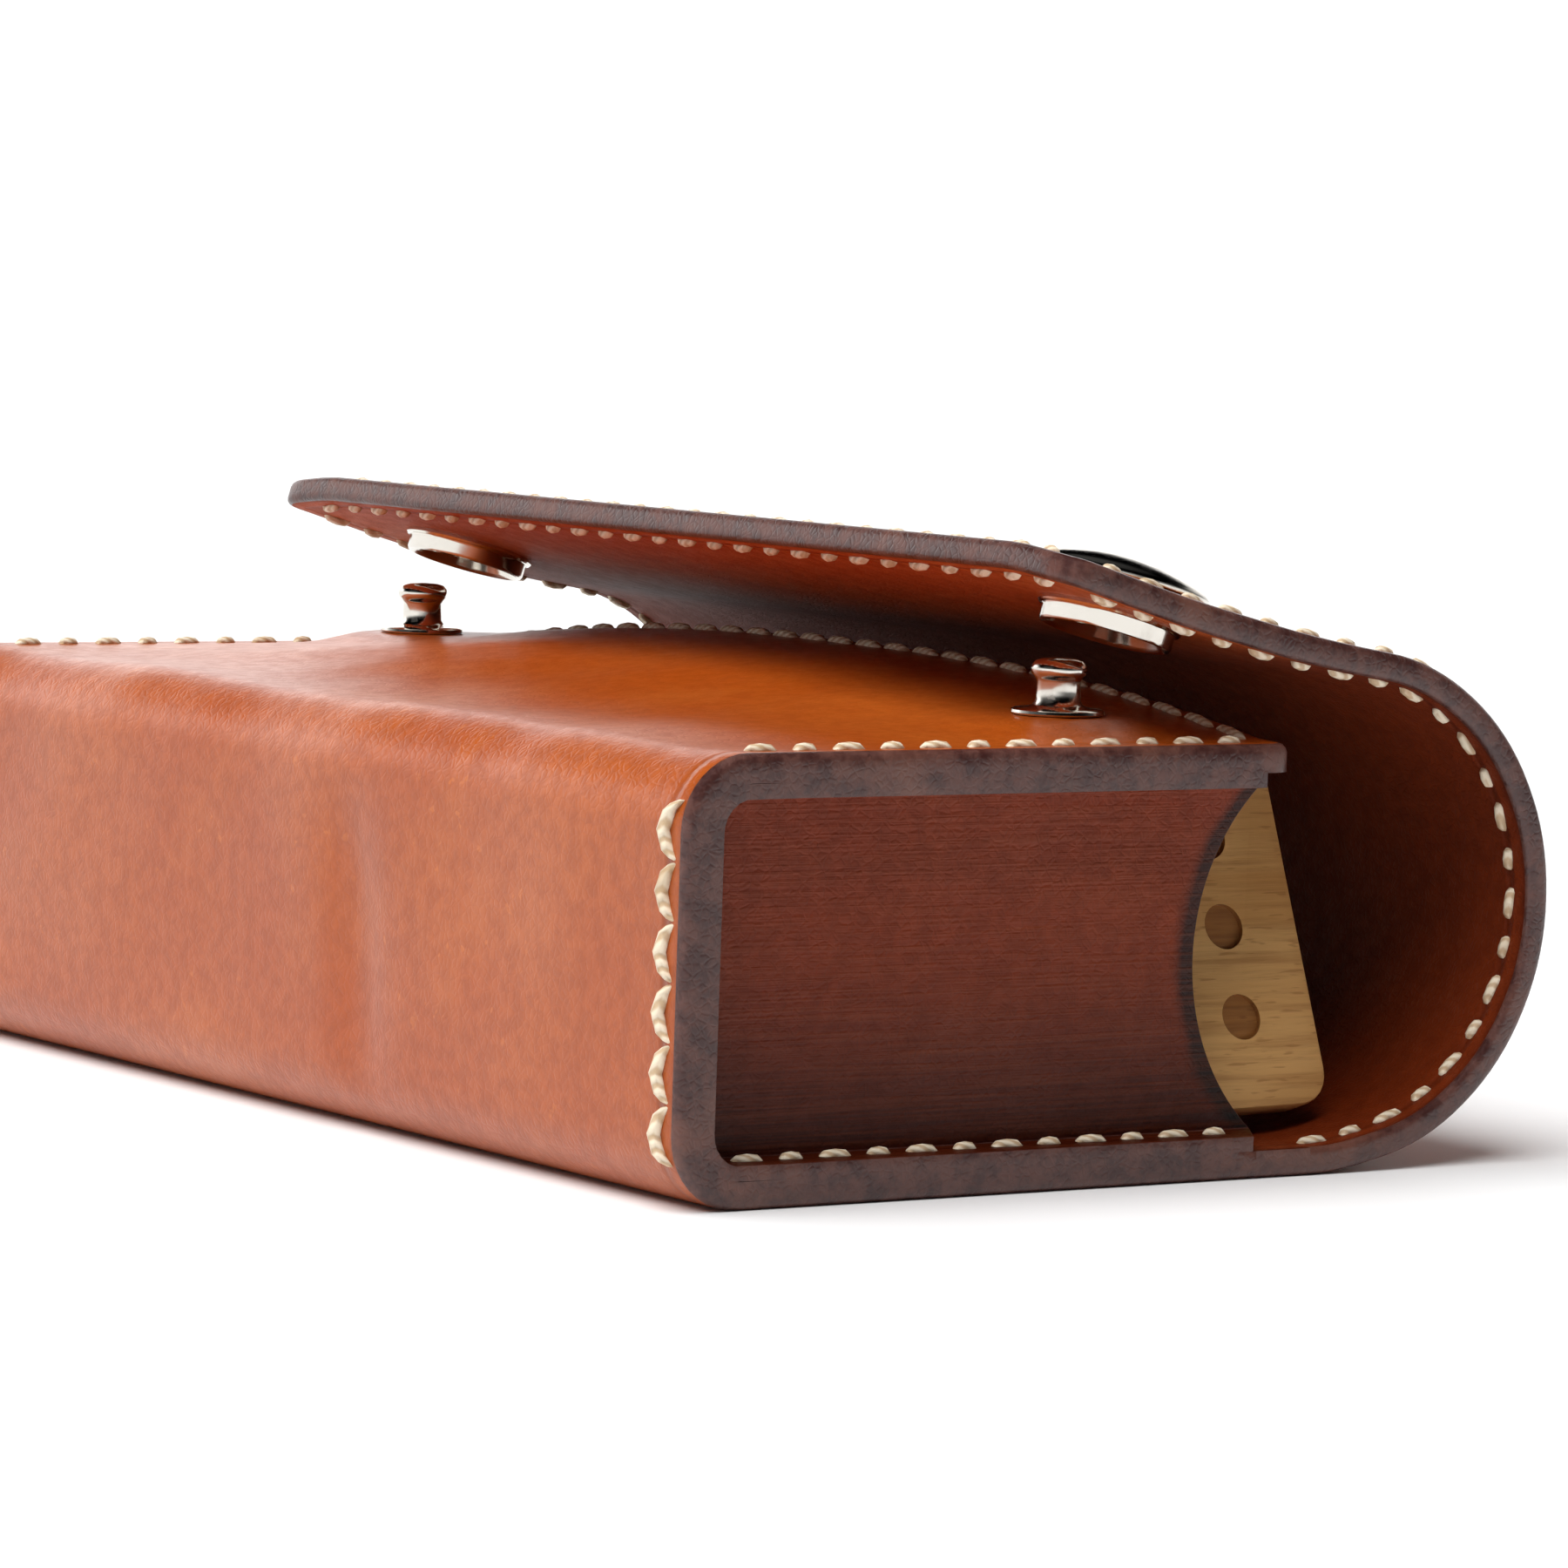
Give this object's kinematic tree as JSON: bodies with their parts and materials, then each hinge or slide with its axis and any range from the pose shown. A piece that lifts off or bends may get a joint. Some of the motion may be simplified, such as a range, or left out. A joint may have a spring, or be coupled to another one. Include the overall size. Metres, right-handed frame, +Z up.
{
  "type": "domino storage box",
  "caption": "Stitched leather domino case lying on its back, with a lined flap that curls round the mouth and closes on two snaps over a row of wooden tiles.",
  "frame": {"origin": "middle of the back panel's underside, halfway between the closed end and the mouth edge and between the two side edges", "axes": "+X out of the mouth, +Y towards the far side wall, +Z up from the back panel to the front panel"},
  "size_m": [0.072, 0.104, 0.0424],
  "materials": {
    "leather": "polished vegetable-tanned hide",
    "lining": "smooth matte lining hide",
    "thread": "waxed cream thread",
    "nickel": "bright nickel plate",
    "tile_wood": "pale sanded birch"
  },
  "bodies": {
    "case": {"case_outer": "leather", "case_lining": "lining", "near_wall": "leather", "far_wall": "leather", "near_wall_lining": "lining", "far_wall_lining": "lining", "front_panel_stitches": "thread", "mouth_stitches": "thread", "back_panel_stitches": "thread", "near_seam_stitches": "thread", "far_seam_stitches": "thread", "near_snap_stud": "nickel", "far_snap_stud": "nickel", "near_stud_rivet": "nickel", "far_stud_rivet": "nickel", "tile_row": "tile_wood"},
    "flap_base": {"flap_outer_1": "leather", "flap_lining_1": "lining", "flap_stitches_1": "thread", "flap_outer_2": "leather", "flap_lining_2": "lining", "flap_stitches_2": "thread", "flap_outer_3": "leather", "flap_lining_3": "lining", "flap_stitches_3": "thread"},
    "flap_curl": {"flap_outer_4": "leather", "flap_lining_4": "lining", "flap_stitches_4": "thread", "flap_outer_5": "leather", "flap_lining_5": "lining", "flap_stitches_5": "thread", "flap_outer_6": "leather", "flap_lining_6": "lining", "flap_stitches_6": "thread", "flap_outer_7": "leather", "flap_lining_7": "lining", "flap_stitches_7": "thread"},
    "flap_end": {"flap_outer_end": "leather", "flap_lining_end": "lining", "flap_stitches_end": "thread", "near_snap_cap": "nickel", "far_snap_cap": "nickel", "near_snap_socket": "nickel", "far_snap_socket": "nickel"},
    "first_tile": {"first_tile": "tile_wood"}
  },
  "joints": [
    {"name": "flap_lean", "type": "hinge", "parent": "case", "child": "flap_base", "pos_m": [0.0288, 0, 0.00095], "axis": [0, -1, 0], "range_deg": [-3, 6.6]},
    {"name": "flap_open", "type": "hinge", "parent": "flap_base", "child": "flap_curl", "pos_m": [0.04583, 0, 0.0145], "axis": [0, -1, 0], "range_deg": [-110, 0]},
    {"name": "flap_tip", "type": "hinge", "parent": "flap_curl", "child": "flap_end", "pos_m": [0.02623, 0, 0.0352], "axis": [0, -1, 0], "range_deg": [-3, 9.9]},
    {"name": "first_tile_slide", "type": "slide", "parent": "case", "child": "first_tile", "axis": [1, 0, 0], "range_m": [-0.0039, 0]}
  ]
}
